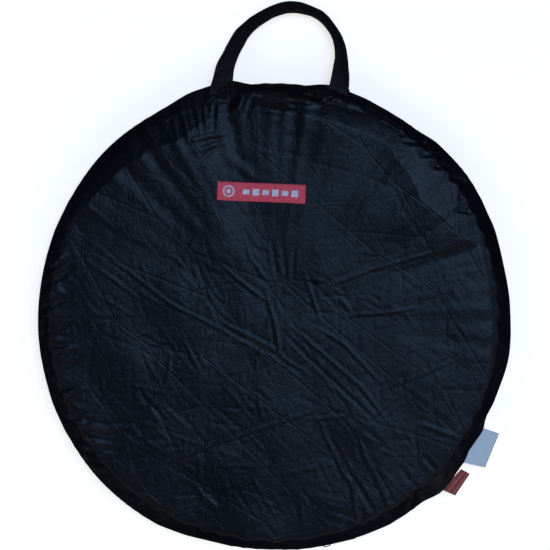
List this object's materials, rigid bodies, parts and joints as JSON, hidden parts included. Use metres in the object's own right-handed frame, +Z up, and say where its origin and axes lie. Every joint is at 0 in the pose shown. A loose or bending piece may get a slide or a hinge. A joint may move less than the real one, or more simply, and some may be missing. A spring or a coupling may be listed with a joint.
{
  "type": "collapsible reflector disc",
  "caption": "Collapsible light reflector folded to a flat disc of three loops inside its round zipped nylon carry case with a strap handle.",
  "frame": {"origin": "centre of the case's back face, which lies on the floor", "axes": "+Z up through the front face, +Y from the folding foot of the case towards the handle, +X to the right seen from the front"},
  "size_m": [0.54, 0.6287, 0.0513],
  "materials": {
    "black_nylon": "thin coated nylon taffeta with a soft sheen",
    "black_webbing": "folded and stitched strap",
    "binding_tape": "grosgrain binding",
    "zip_tape": "woven polyester tape",
    "zip_coil": "nylon coil",
    "zip_metal": "black enamel",
    "spring_steel": "blued spring band",
    "ferrule_steel": "crimped sheet",
    "silver_cloth": "metallised silver",
    "white_cloth": "matt white",
    "red_label": "woven satin label",
    "label_print": "white weave",
    "grey_tag": "printed satin tag",
    "dark_red_tag": "woven tag"
  },
  "bodies": {
    "case_base": {"back_panel": "black_nylon", "back_shoulder": "black_nylon", "back_gusset": "black_nylon", "back_foot": "black_nylon", "back_seam_binding": "binding_tape", "back_zip_tape": "zip_tape", "back_zip_coil": "zip_coil", "zip_stops": "zip_metal"},
    "lid": {"front_panel": "black_nylon", "front_shoulder": "black_nylon", "front_gusset": "black_nylon", "front_foot": "black_nylon", "front_seam_binding": "binding_tape", "front_zip_tape": "zip_tape", "front_zip_coil": "zip_coil", "handle_anchor_left": "black_webbing", "handle_anchor_right": "black_webbing", "brand_patch": "red_label", "patch_print": "label_print", "size_tag": "grey_tag", "maker_tag": "dark_red_tag"},
    "reflector": {"spring_band": "spring_steel", "rim_binding": "binding_tape", "silver_face": "silver_cloth", "white_face": "white_cloth", "band_ferrule": "ferrule_steel", "ferrule_rivets": "ferrule_steel", "hanging_loop": "black_webbing"},
    "slider": {"zip_slider": "zip_metal"},
    "pull": {"zip_pull": "zip_metal"},
    "handle": {"handle_strap": "black_webbing"}
  },
  "joints": [
    {"name": "lid_hinge", "type": "hinge", "parent": "case_base", "child": "lid", "pos_m": [0, -0.27, 0.025], "axis": [1, 0, 0], "range_deg": [0, 150]},
    {"name": "reflector_lift", "type": "hinge", "parent": "case_base", "child": "reflector", "pos_m": [0, -0.27, 0.025], "axis": [1, 0, 0], "range_deg": [0, 75]},
    {"name": "zip_travel", "type": "hinge", "parent": "case_base", "child": "slider", "pos_m": [0, 0, 0.025], "axis": [0, 0, 1], "range_deg": [0, 334]},
    {"name": "pull_swing", "type": "hinge", "parent": "slider", "child": "pull", "pos_m": [0.0604, -0.26162, 0.025], "axis": [0, 0, -1], "range_deg": [0, 180]},
    {"name": "handle_swing", "type": "hinge", "parent": "lid", "child": "handle", "pos_m": [0, 0.262, 0.0442], "axis": [1, 0, 0], "range_deg": [0, 150]}
  ],
  "couplings": [
    {"joint": "reflector_lift", "follows": "lid_hinge", "ratio": 0.5}
  ]
}
